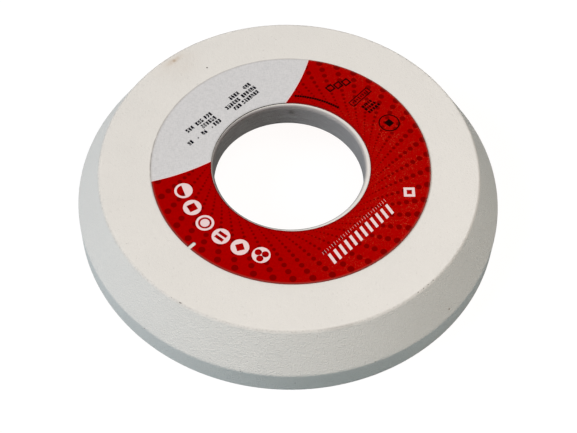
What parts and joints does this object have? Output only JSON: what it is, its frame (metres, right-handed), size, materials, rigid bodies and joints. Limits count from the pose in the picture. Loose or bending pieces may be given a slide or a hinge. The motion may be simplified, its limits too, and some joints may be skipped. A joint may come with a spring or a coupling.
{
  "type": "flaring cup grinding wheel",
  "caption": "White vitrified flaring cup grinding wheel with a plain bore, a deep recess, a tapered side above a straight band, and a paper blotter on each clamping face.",
  "frame": {"origin": "on the wheel's axis, in the plane of the rim that the wheel stands on", "axes": "+Z along the bore, from the rim to the back with the printed blotter; the blotter's notch lies between -X and -Y"},
  "size_m": [0.215, 0.215, 0.0356],
  "materials": {
    "abrasive": "matt, fine open grain of white fused alumina in a vitrified bond",
    "printed_paper": "smooth card, printed red with darker red dots, light grey in one sector",
    "plain_paper": "plain soft blotting card"
  },
  "bodies": {
    "root": {"abrasive_wheel": "abrasive", "printed_blotter": "printed_paper", "inner_blotter": "plain_paper"}
  },
  "joints": []
}
